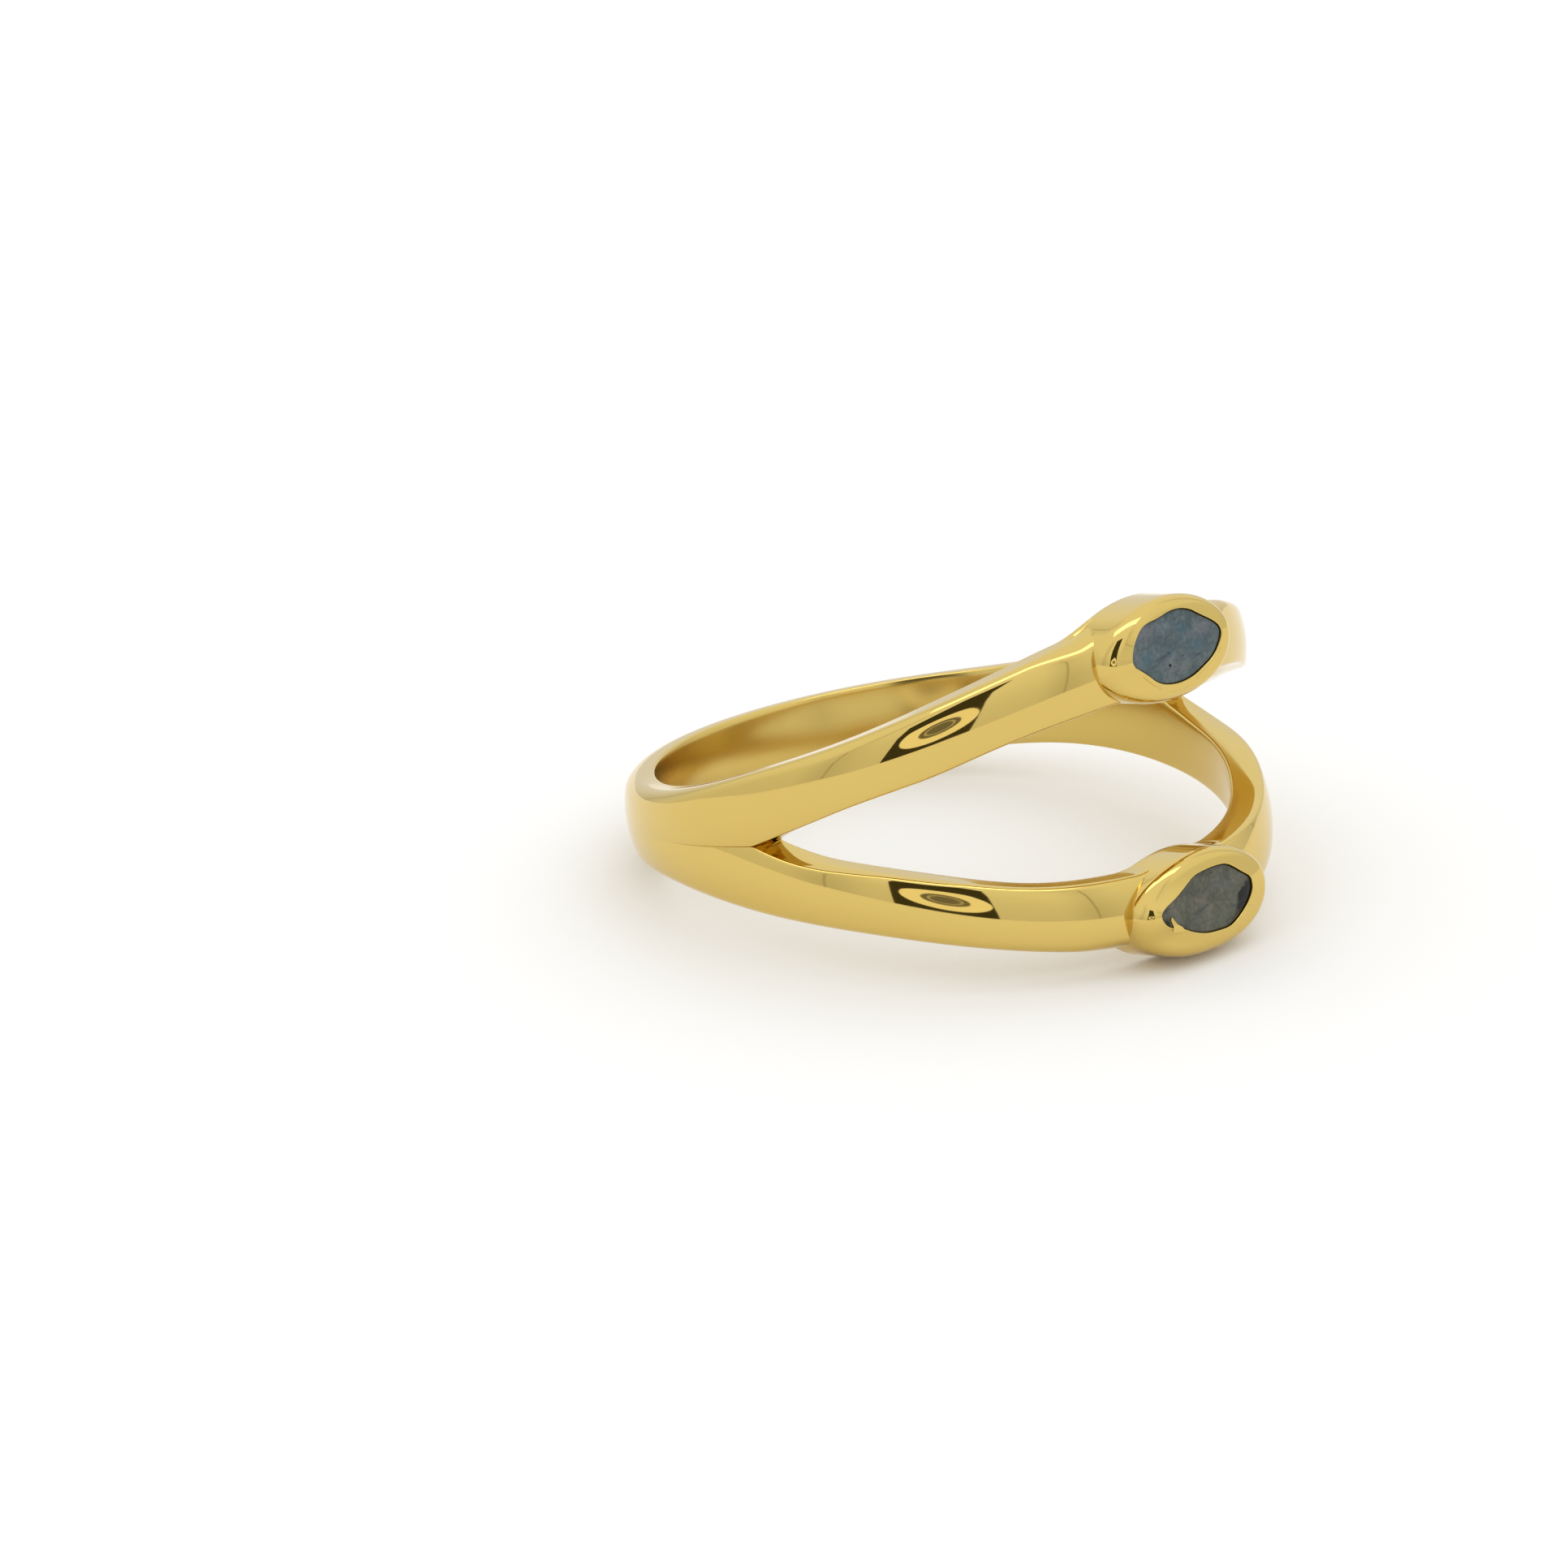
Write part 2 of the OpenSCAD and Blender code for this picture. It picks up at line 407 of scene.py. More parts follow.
        def height(angle: float, x: float) -> float:
            if x >= far:
                return edge(angle)
            if x <= near:
                inside = near - x
                return start - start_slope * inside / (1.0 + inside / self.fillet_inside)
            t = (x - near) / span
            drift = edge(angle) - arm(x)
            bent = (
                start * (1 + 2 * t) * (1 - t) ** 2
                + start_slope * span * t * (1 - t) ** 2
                + end * t * t * (3 - 2 * t)
                - end_slope * span * t * t * (1 - t)
            )
            return bent + drift * ease(t)

        return height

    def face_point(self, height: float, crest: float, sunk: float) -> float:
        """Returns the outer face's radius at a height, less what a corner's rounding takes."""
        return self.bore_r + self.thickness - (height - crest) ** 2 / (2 * self.face_r) - sunk

    def section(self, angle: float, side: Side) -> list[Point]:
        """Works out one half of the section at an angle from the front.

        Args:
            angle: the station's angle from the front in degrees, 0 to 180.
            side: the arm. The lower arm's half is worked out as if it were above the middle.

        Returns:
            (radius, height) points, which go up the bore wall, out over the outer edge, down the
            face and back along the gap side.
        """
        out = math.sin(math.radians(angle)) if angle < 90 else 1.0
        joined = angle >= self.fork_angle
        flare = self.flare_at(angle, side)
        bend = blend(passing(angle, self.bend_span), *FLANK_BEND[side])

        def top(radius: float) -> float:
            return self.outer_flank(angle, radius * out)

        def foot(radius: float) -> float:
            spread = flare * unit((radius - deep) / reach) ** bend
            return spread + (0.0 if joined else self.gap_flank(angle, radius * out))

        plain_top, plain_foot = self.outer_curve.at(angle), self.gap_at(angle)
        crest = self.crest_curve.at(angle)
        outside = self.face_point(plain_foot + flare, crest, 0.0)
        deep = self.bore_r
        if joined:
            # Both halves meet at the bottom of the notch, so its depth leaves their flares out.
            bottom = self.face_point(plain_foot, crest, 0.0) - self.notch_depth(angle)
            deep = max(bottom, self.bore_r + self.least_floor)
        reach = max(outside - deep, self.least_reach)
        low_r, shoulder = self.low_edge_r(angle, side), self.shoulder(angle)
        edge_up = blend(shoulder, self.edge_r(angle), self.shoulder_up)
        edge_deep = blend(shoulder, self.edge_r(angle), self.shoulder_deep)
        inner_fade = unit((self.fork_angle + self.inner_groove - angle) / self.inner_groove)
        face_r = self.face_point(plain_top, crest, 0.0)
        face_top, face_foot = top(face_r), foot(face_r)
        points: list[Point] = []

        def inner_corner(edge: Callable[[float], float], way: int, fading: float) -> None:
            rounding = quarter_round(self.inner_corner_steps)
            for off, rise in rounding if way > 0 else reversed(rounding):
                height = edge(self.bore_r) + way * self.inner_edge_r * rise
                wall = self.bore_wall(angle, height, crest)
                points.append((wall + fading * self.inner_edge_r * off, height))

        inner_corner(foot, 1, inner_fade)
        low = foot(self.bore_r) + self.inner_edge_r
        high = top(self.bore_r) - self.inner_edge_r
        for k in range(1, self.wall_steps):
            height = blend(k / self.wall_steps, low, high)
            points.append((self.bore_wall(angle, height, crest), height))
        inner_corner(top, -1, 1.0)

        start = points[-1][0]
        end = self.face_point(face_top, crest, edge_deep)
        for radius in (start + self.support, (start + end) / 2, end - self.support):
            points.append((radius, top(radius)))
        for sunk, drop in quarter_round(self.corner_steps):
            height = face_top - edge_up * drop
            points.append((self.face_point(height, crest, edge_deep * sunk), height))
        upper, lower = face_top - edge_up, face_foot + low_r
        for k in range(1, self.face_steps):
            height = blend(k / self.face_steps, upper, lower)
            points.append((self.face_point(height, crest, 0.0), height))
        groove = unit((self.groove_end - angle) / (self.groove_end - self.notch_end))
        for sunk, rise in reversed(quarter_round(self.corner_steps)):
            height = face_foot + low_r * rise
            points.append((self.face_point(height, crest, groove * low_r * sunk), height))
        end = points[-1][0]
        last = max(deep, points[0][0] + self.support)
        for k in range(1, self.flank_steps + 1):
            radius = blend(k / self.flank_steps, end, min(last, end - self.least_wall))
            points.append((radius, foot(radius)))
        if joined:
            points[-1] = (points[-1][0], 0.0)
        return points

    def build(self) -> bmesh.types.BMesh:
        """Spins a section round the bore for each arm, shapes both and joins them.

        Returns:
            The closed mesh of the band and both arms, upright, in millimetres.
        """
        mesh = bmesh.new()
        place = mesh.verts.layers.int.new("point")
        arm = mesh.verts.layers.int.new("arm")
        for side in Side:
            verts = []
            for k, (radius, height) in enumerate(self.section(0.0, side)):
                vert = mesh.verts.new((0.0, -radius, side.value * height))
                vert[place], vert[arm] = k, side.value
                verts.append(vert)
            edges = [mesh.edges.new(pair) for pair in zip(verts, verts[1:] + verts[:1])]
            bmesh.ops.spin(
                mesh, geom=verts + edges, cent=(0, 0, 0), axis=(0, 0, 1), dvec=(0, 0, 0),
                angle=math.tau, steps=self.stations, space=Matrix.Identity(4),
                use_merge=True, use_normal_flip=False, use_duplicate=False,
            )
        step = 360.0 / self.stations
        half = self.stations // 2
        counts, marks = zip(*self.stretches)
        # The stations stand closest together at the fork.
        angles = [float(np.interp(i, counts, marks)) for i in range(half + 1)]
        sections = {side: [self.section(angle, side) for angle in angles] for side in Side}
        gap_side = {0, len(sections[Side.UPPER][0]) - 1}
        behind: set[bmesh.types.BMVert] = set()
        for vert in mesh.verts:
            station = round(math.degrees(math.atan2(vert.co.x, -vert.co.y)) / step)
            side = Side(vert[arm])
            radius, height = sections[side][abs(station)][vert[place]]
            turn = math.copysign(math.radians(angles[abs(station)]), station)
            vert.co = (radius * math.sin(turn), -radius * math.cos(turn), side.value * height)
            if angles[abs(station)] >= self.fork_angle and vert[place] in gap_side:
                behind.add(vert)
        # Faces in the middle plane, and the gap's side behind the fork, are inside the band.
        level = {v for v in mesh.verts if abs(v.co.z) < LEVEL}
        inside = [f for f in mesh.faces if behind.issuperset(f.verts) or level.issuperset(f.verts)]
        bmesh.ops.delete(mesh, geom=inside, context="FACES")
        middle = [v for v in mesh.verts if abs(v.co.z) < self.middle_zone]
        bmesh.ops.remove_doubles(mesh, verts=middle, dist=WELD)
        bmesh.ops.recalc_face_normals(mesh, faces=mesh.faces)
        return mesh


@dataclass
class Bezel:
    """An oval cup of metal whose rim is pressed down round a flush stone.

    Its outline is a closed row of columns, each with a point on the wall and one on the seat.
    """

    side: Side
    seat: Sequence[Point]
    lines: Sequence[Point]
    half_l: float
    shift: float
    end_round_h: float
    bore_r: float = 8.65
    back_gap: float = 0.004
    rise: float = 3.8
    powers: Point = (1.95, 2.25)
    half_w: float = 1.525
    top: float = 10.38
    end_slope: float = 0.5
    side_slope: float = 0.14
    rim_r: float = 0.36
    back_edge_r: float = 0.07
    lip_r: float = 0.03
    line_off: float = 0.13
    line_half: float = 0.035
    line_depth: float = 0.022
    line_fade_deg: float = 8.0
    middle_share: float = 0.02
    curled_share: float = 0.62
    outer_rows: Point = (0.24, 0.2)
    inner_rows: Point = (0.07, 0.05)
    seat_profile: tuple[Point, ...] = ((0.08, 1.0), (0.3, 1.0), (0.95, 1.0), (0.95, 0.5), (0.95, 0.02))
    plug_profile: tuple[Point, ...] = ((-0.2, 0.02), (-0.2, 1.02), (0.97, 1.02), (0.97, 0.02))
    columns: int = 240
    back_rows: int = 6
    back_edge_rows: int = 3
    wall_rows: int = 6
    rim_rows: int = 26
    lip_rows: int = 4

    def __post_init__(self) -> None:
        """Works out the height of its centre, and its columns from there."""
        self.centre = self.side.value * self.rise
        self.outline = [self.column(k) for k in range(self.columns)]
        self.widths = [math.dist(wall, seat) for wall, seat in self.outline]

    def column(self, k: int) -> tuple[Point, Point]:
        """Returns the wall's and the seat's point of a column, from the bezel's centre."""
        turn = math.tau * k / self.columns
        power = self.powers[0] if math.sin(turn) > 0 else self.powers[1]
        across, up = (math.copysign(abs(v) ** (2 / power), v) for v in (math.cos(turn), math.sin(turn)))
        wall = (self.shift + self.half_l * across, self.half_w * up)
        angle = math.atan2(wall[1], wall[0])
        reach = reach_towards(self.seat, angle)
        return wall, (reach * math.cos(angle), reach * math.sin(angle))

    def towards_end(self, k: int) -> float:
        """Returns how much a column belongs to the end that meets the arm's crest, 0 to 1."""
        return max(0.0, -math.cos(math.tau * k / self.columns)) ** 2

    def slope(self, k: int) -> float:
        """Returns how fast the rim falls away from the stone."""
        return blend(self.towards_end(k), self.side_slope, self.end_slope)

    def round_height(self, k: int) -> float:
        """Returns how far down the rim's rounding reaches."""
        return blend(self.towards_end(k), self.rim_r, self.end_round_h)

    def rim_point(self, k: int, across: float) -> Vector:
        """Works out a point of the rounded rim.

        Args:
            k: the column's number.
            across: how far it is from the wall, 0, to the seat, 1.

        Returns:
            The point, lower where the burnisher left its line.
        """
        wall, seat = self.outline[k]
        off = (1.0 - across) * self.widths[k]
        lean = max(0.0, 1.0 - across * self.widths[k] / self.rim_r)
        drop = self.slope(k) * off
        drop += self.round_height(k) * (1.0 - math.sqrt(max(0.0, 1.0 - lean * lean)))
        cut = unit(1.0 - abs(off - self.line_off) / self.line_half)
        degrees = 360.0 * k / self.columns
        for start, end in self.lines:
            inside = min((degrees - start) % 360, (end - degrees) % 360)
            if (degrees - start) % 360 <= (end - start) % 360:
                drop += self.line_depth * cut * ease(inside / self.line_fade_deg)
        x, z = (blend(across, *ends) for ends in zip(wall, seat))
        return Vector((x, drop - self.top, self.centre + z))

    def rim_row(self, shares: Sequence[float], drop: float = 0.0) -> list[Vector]:
        """Returns a row of rim points at each column's share of the way to the seat, or lower."""
        points = [self.rim_point(k, share) for k, share in enumerate(shares)]
        return [point + Vector((0.0, drop, 0.0)) for point in points]

    def seat_row(self, depth: float, share: float) -> list[Vector]:
        """Returns a row of points at a depth under the top, at a share of the seat's reach."""
        return [Vector((share * x, depth - self.top, self.centre + share * z)) for _, (x, z) in self.outline]

    def back_row(self, inset: float, out: float, share: float = 1.0) -> list[Vector]:
        """Returns a row of points on the back, which follows the bore.

        Args:
            inset: how far inside the wall it runs.
            out: how far it is off the bore.
            share: its share of that outline.

        Returns:
            The row.
        """
        back_r = self.bore_r + self.back_gap
        row = []
        for (wall_x, wall_z), _ in self.outline:
            x = share * wall_x * (1 - inset / self.half_l)
            z = share * wall_z * (1 - inset / self.half_w)
            row.append(Vector((x, -(math.sqrt(back_r**2 - x * x) + out), self.centre + z)))
        return row

    def build(self) -> bmesh.types.BMesh:
        """Grows the cup from the middle of its back, over the rim, to the floor of the seat.

        Returns:
            The closed mesh of the bezel, upright, in millimetres.
        """
        rows: list[list[Vector]] = []
        for k in range(self.back_rows + 1):
            share = blend(k / self.back_rows, self.middle_share, 1.0)
            rows.append(self.back_row(self.back_edge_r, 0.0, share))
        for inset, out in quarter_round(self.back_edge_rows)[1:]:
            rows.append(self.back_row(self.back_edge_r * inset, self.back_edge_r * out))
        feet = rows[-1]
        heads = [self.slope(k) * w + self.round_height(k) - self.top for k, w in enumerate(self.widths)]
        for k in range(1, self.wall_rows):
            share = k / self.wall_rows
            rows.append([Vector((p.x, blend(share, p.y, head), p.z)) for p, head in zip(feet, heads)])
        for _, share in quarter_round(self.rim_rows):
            if share < self.curled_share:
                rows.append(self.rim_row([share] * self.columns))
        on_line = [self.line_off + self.line_half * n / 2 for n in range(2, -3, -1)]
        steps = [(off, 0.0) for off in (*self.outer_rows, *on_line, *self.inner_rows)]
        steps += [(self.lip_r * off, self.lip_r * drop) for off, drop in quarter_round(self.lip_rows)]
        for off, drop in steps:
            rows.append(self.rim_row([1.0 - off / width for width in self.widths], drop))
        rows += [self.seat_row(depth, share) for depth, share in self.seat_profile]
        mesh = bmesh.new()
        stack_rows(mesh, rows)
        return mesh

    def plug(self) -> bmesh.types.BMesh:
        """Makes what is cut out of the arm for the seat, a little wider and deeper than the seat.

        Returns:
            The closed mesh of the plug, upright, in millimetres.
        """
        mesh = bmesh.new()
        stack_rows(mesh, [self.seat_row(depth, share) for depth, share in self.plug_profile])
        return mesh


def join_solids(
    name: str, base: bpy.types.Object, cutters: Sequence[bpy.types.Object], others: Sequence[bpy.types.Object]
) -> bpy.types.Object:
    """Cuts closed solids out of a solid and fuses others with it.

    Args:
        name: the new object's name.
        base: the solid to begin with, which is removed, as all the others are.
        cutters: what is cut out of it.
        others: what is then fused with it.

    Returns:
        One object with the fused mesh.
    """
    solids = [base, *cutters, *others]
    for number, solid in enumerate(solids[1:]):
        step = base.modifiers.new("join", "BOOLEAN")
        step.operation = "DIFFERENCE" if number < len(cutters) else "UNION"
        step.solver = "EXACT"
        step.object = solid
    view = bpy.context.evaluated_depsgraph_get()
    data = bpy.data.meshes.new_from_object(base.evaluated_get(view))
    for solid in solids:
        bpy.data.objects.remove(solid)
    made = bpy.data.objects.new(name, data)
    data.name = name
    bpy.context.scene.collection.objects.link(made)
    return made


def smooth_but_creased(piece: bpy.types.Object, crease_deg: float) -> None:
    """Shades a piece smooth, apart from the edges that turn more than an angle.

    Args:
        piece: the piece.
        crease_deg: edges that turn more than this stay sharp.
    """
    mesh = bmesh.new()
    mesh.from_mesh(piece.data)
    limit = math.radians(crease_deg)
    for face in mesh.faces:
        face.smooth = True
    for edge in mesh.edges:
        edge.smooth = not (len(edge.link_faces) == 2 and edge.calc_face_angle() > limit)
    mesh.to_mesh(piece.data)
    mesh.free()


SEATS: dict[Side, tuple[Point, ...]] = {
    Side.UPPER: (
        (2.14, 0.04), (2.02, 0.28), (1.69, 0.51), (1.27, 0.75), (0.89, 0.99), (0.46, 1.11),
        (-0.00, 1.12), (-0.51, 1.01), (-1.06, 0.97), (-1.35, 0.81), (-1.69, 0.43), (-1.84, -0.08),
        (-1.50, -0.32), (-1.21, -0.53), (-0.93, -0.78), (-0.56, -0.95), (0.05, -1.04), (0.68, -0.97),
        (1.18, -0.79), (1.67, -0.58), (2.00, -0.24),
    ),
    Side.LOWER: (
        (1.86, 0.04), (1.82, 0.27), (1.47, 0.50), (1.11, 0.77), (0.81, 0.93), (0.35, 0.98),
        (-0.10, 0.97), (-0.58, 0.93), (-0.88, 0.78), (-1.27, 0.58), (-1.55, 0.46), (-1.87, 0.36),
        (-2.14, 0.23), (-2.20, 0.08), (-2.10, -0.14), (-1.87, -0.32), (-1.33, -0.48), (-1.00, -0.67),
        (-0.50, -0.85), (-0.14, -0.91), (0.40, -0.95), (0.71, -0.93), (1.11, -0.77), (1.57, -0.46),
        (1.81, -0.16),
    ),
}


# Where the burnisher left a fine line in each rim, as turns in degrees from its right end.
BURNISH_LINES: dict[Side, tuple[Point, ...]] = {
    Side.UPPER: ((205.0, 250.0), (285.0, 345.0)),
    Side.LOWER: ((300.0, 335.0),),
}


# Each bezel's half length, how far it is shifted along the arm, and how far down the rounding of
# its rim reaches at its left end.
BEZEL_FORMS: dict[Side, tuple[float, float, float]] = {
    Side.UPPER: (2.64, 0.10, 0.56),
    Side.LOWER: (2.72, 0.02, 0.54),
}


def bezel_of(side: Side) -> Bezel:
    """Returns the bezel at the front of an arm."""
    return Bezel(side, cut_corners(SEATS[side], 2), BURNISH_LINES[side], *BEZEL_FORMS[side])


@dataclass
class FoldedTip:
    """The small tip of rim metal that is folded over the lower stone's left corner."""

    outline: tuple[Point, ...] = (
        (-1.78, -0.50), (-1.76, -0.28), (-1.82, -0.12), (-1.81, -0.04), (-1.76, -0.03),
        (-1.68, -0.14), (-1.58, -0.27), (-1.40, -0.40), (-1.26, -0.58),
    )
    rise: float = -3.8
    top: float = 10.38
    over: float = 0.004
    thick: float = 0.045
    edge_r: float = 0.018

    def build(self) -> bmesh.types.BMesh:
        """Makes the tip's mesh, upright, in millimetres."""
        mesh = bmesh.new()
        level = self.over - self.top
        face = mesh.faces.new([mesh.verts.new((x, level, self.rise + z)) for x, z in self.outline])
        grown = bmesh.ops.extrude_face_region(mesh, geom=[face])["geom"]
        under = [g for g in grown if isinstance(g, bmesh.types.BMVert)]
        bmesh.ops.translate(mesh, verts=under, vec=(0.0, self.thick, 0.0))
        front = [e for e in mesh.edges if all(abs(v.co.y - level) < LEVEL for v in e.verts)]
        bmesh.ops.bevel(
            mesh, geom=front, offset=self.edge_r, segments=3, profile=0.5, affect="EDGES", material=-1,
        )
        bmesh.ops.recalc_face_normals(mesh, faces=mesh.faces)
        return mesh


@dataclass
class Casting:
    """The ring's one piece of metal: band, arms and bezels."""

    crease_deg: float = 32.0

    def build(self) -> bpy.types.Object:
        """Makes the metal piece and lays it down.

        Returns:
            The finished piece, in metres, where the solid lies.
        """
        shank = new_object("shank", Shank().build())
        plugs = [new_object("plug", bezel_of(side).plug()) for side in Side]
        parts = [new_object("cup", bezel_of(side).build()) for side in Side]
        parts.append(new_object("tongue", FoldedTip().build()))
        piece = join_solids("gold_casting", shank, plugs, parts)
        piece.data.transform(RestPose().matrix())
        smooth_but_creased(piece, self.crease_deg)
        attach(piece, "root")
        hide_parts("split_band")
        return piece


@dataclass
class Tablet:
    """A flat polished tablet of stone with a bevel round its table."""

    side: Side
    name: str
    node: str
    slot: str
    gap: float = 0.008
    sunk: float = 0.055
    thick: float = 0.87
    bevel: float = 0.05
    # Below this depth under the table, the stone is marked for painted shade.
    shade_line_drop: float = 0.0075
    crease_deg: float = 30.0
    # Below: each row's share of the outline and its height over the flat bottom.
    below: tuple[Point, ...] = ((0.02, 0.0), (0.7, 0.0), (0.86, 0.12), (0.96, 0.4), (1.0, 0.6))
    # Above: each row's share of the outline, bevel widths inwards and depth under the table.
    above: tuple[tuple[float, float, float], ...] = (
        (1.0, 0.0, 0.03), (1.0, 0.5, 0.0135), (1.0, 1.0, 0.004),
        (1.0, 1.3, 0.0), (0.8, 1.0, 0.0), (0.5, 0.5, 0.0), (0.02, 0.0, 0.0),
    )

    def build(self) -> bpy.types.Object:
        """Makes the stone and lays it down in its seat.

        Returns:
            The finished stone, in metres.
        """
        cup = bezel_of(self.side)
        profile = [(share, 0.0, self.thick - up) for share, up in self.below]
        rows: list[list[Vector]] = []
        for share, bevels, drop in (*profile, *self.above):
            row = []
            for _, (x, z) in cup.outline:
                reach = math.hypot(x, z)
                kept = (share * (reach - self.gap) - bevels * self.bevel) / reach
                row.append(Vector((kept * x, self.sunk + drop - cup.top, cup.centre + kept * z)))
            rows.append(row)
        mesh = bmesh.new()
        edge = mesh.verts.layers.float.new("edge")
        stack_rows(mesh, rows)
        # The edge attribute marks the stone's sides and the bevel's outer rows, where its material paints
        # shade.
        for vert in mesh.verts:
            vert[edge] = float(vert.co.y + cup.top > self.sunk + self.shade_line_drop)
        piece = new_object(self.name, mesh)
        piece.data.transform(RestPose().matrix())
        smooth_but_creased(piece, self.crease_deg)
        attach(piece, "root")
        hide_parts(self.node)
        return piece


def linear(hex_colour: str) -> tuple[float, float, float, float]:
    """Turns an sRGB hex colour into a linear one.

    Args:
        hex_colour: six hex digits.

    Returns:
        Red, green, blue and an alpha of 1.
    """
    channels = []
    # The sRGB curve is straight near black and a power above that.
    for i in (0, 2, 4):
        value = int(hex_colour[i : i + 2], 16) / 255
        channels.append(value / 12.92 if value <= 0.04045 else ((value + 0.055) / 1.055) ** 2.4)
    return channels[0], channels[1], channels[2], 1.0


def add(
    tree: bpy.types.NodeTree, kind: str, settings: dict[str, Any] | None = None, **inputs: Any
) -> bpy.types.Node:
    """Adds a node with its settings and links.

    Args:
        tree: the node tree.
        kind: the node's type name.
        settings: properties of the node by name.
        inputs: values, nodes or output sockets by input name, with _ for a space, or by n and a
            number. A node stands for its first output.

    Returns:
        The new node.
    """
    node = tree.nodes.new(kind)
    for key, value in (settings or {}).items():
        setattr(node, key, value)
    for key, value in inputs.items():
        numbered = key[0] == "n" and key[1:].isdigit()
        socket = node.inputs[int(key[1:]) if numbered else key.replace("_", " ")]
        if isinstance(value, bpy.types.Node):
            value = value.outputs[0]
        if isinstance(value, bpy.types.NodeSocket):
            tree.links.new(value, socket)
        else:
            socket.default_value = value
    return node


def ranges(source: Point, target: Point = (0.0, 1.0)) -> dict[str, float]:
    """Returns the inputs of a node that maps one range to another, by name."""
    return dict(zip(("From_Min", "From_Max", "To_Min", "To_Max"), (*source, *target)))


def blank_material(name: str) -> tuple[bpy.types.Material, bpy.types.NodeTree]:
    """Makes a material without nodes.

    Args:
        name: the material's name.

    Returns:
        The material and its empty node tree.
    """
    material = bpy.data.materials.new(name)
    material.use_nodes = True
    material.node_tree.nodes.clear()
    return material, material.node_tree


def set_stops(ramp: bpy.types.Node, stops: Iterable[tuple[float, Sequence[float]]]) -> None:
    """Gives a colour ramp its stops.

    Args:
        ramp: the ramp's node.
        stops: each stop's place from 0 to 1, in rising order, with its red, green and blue.
    """
    elements = ramp.color_ramp.elements
    for number, (place, colour) in enumerate(stops):
        if number >= len(elements):
            elements.new(1.0)
        elements[number].position = place
        elements[number].color = (*colour[:3], 1.0)


@dataclass(frozen=True)
class GoldPlate:
    """Yellow gold plate over a lost-wax silver casting, buffed to a mirror."""

    colour: str = "d8bb6a"
    waves_mm: float = 1.6
    wave_height: float = 0.0022
    haze_per_mm: float = 0.35
    haze_rough: Point = (0.03, 0.075)
    bore_r: float = 8.65
    outer_r: float = 9.5
    bore_rough: float = 0.2

    def make(self) -> bpy.types.Material:
        """Returns the material: a clean warm mirror that the buffing wheel left very slightly wavy."""
        material, tree = blank_material("polished_gold_plate")
        spot = add(tree, "ShaderNodeTexCoord").outputs["Object"]
        place = add(tree, "ShaderNodeMapping", Vector=spot, Scale=(1 / MM, 1 / MM, 1 / MM))
        waves = add(
            tree, "ShaderNodeTexNoise", Vector=place, Scale=1 / self.waves_mm, Detail=2.0, Roughness=0.4,
        )
        relief = add(tree, "ShaderNodeBump", Height=waves, Strength=1.0, Distance=self.wave_height * MM)
        # The haze of buffing is uneven over a few millimetres.
        haze = add(tree, "ShaderNodeTexNoise", Vector=place, Scale=self.haze_per_mm, Detail=3.0)
        rough = add(tree, "ShaderNodeMapRange", Value=haze, **ranges(NOISE_SPAN, self.haze_rough))
        # The wheel hardly reaches into the bore, which is only satin, and its edges are half way between.
        pose = RestPose()
        upright = add(
            tree, "ShaderNodeMapping", PLACED, Vector=spot,
            Location=Vector((0.0, pose.shift_mm, pose.lift_mm)) * MM,
            Rotation=(-math.radians(pose.lean_deg), 0.0, 0.0), Scale=(MM, MM, MM),
        )
        flat = add(tree, "ShaderNodeVectorMath", {"operation": "MULTIPLY"}, n0=upright, n1=(1.0, 1.0, 0.0))
        out = add(tree, "ShaderNodeVectorMath", {"operation": "LENGTH"}, n0=flat).outputs["Value"]
        satin = add(
            tree, "ShaderNodeMapRange", SMOOTH, Value=out,
            **ranges((self.bore_r, self.outer_r), (self.bore_rough, 0.0)),
        )
        both = add(tree, "ShaderNodeMath", {"operation": "MAXIMUM"}, n0=rough, n1=satin)
        shader = add(
            tree, "ShaderNodeBsdfPrincipled",
            Base_Color=linear(self.colour), Metallic=1.0, Roughness=both, Normal=relief,
        )
        add(tree, "ShaderNodeOutputMaterial", Surface=shader)
        return material


@dataclass(frozen=True)
class Zone:
    """A patch of another colour in a stone, or of painted shade on it, in millimetres from the middle of its
    table.
    """

    middle: Point
    radii: Point
    colour: str
    strength: float
    softness: float = 0.9
    turn_deg: float = 0.0


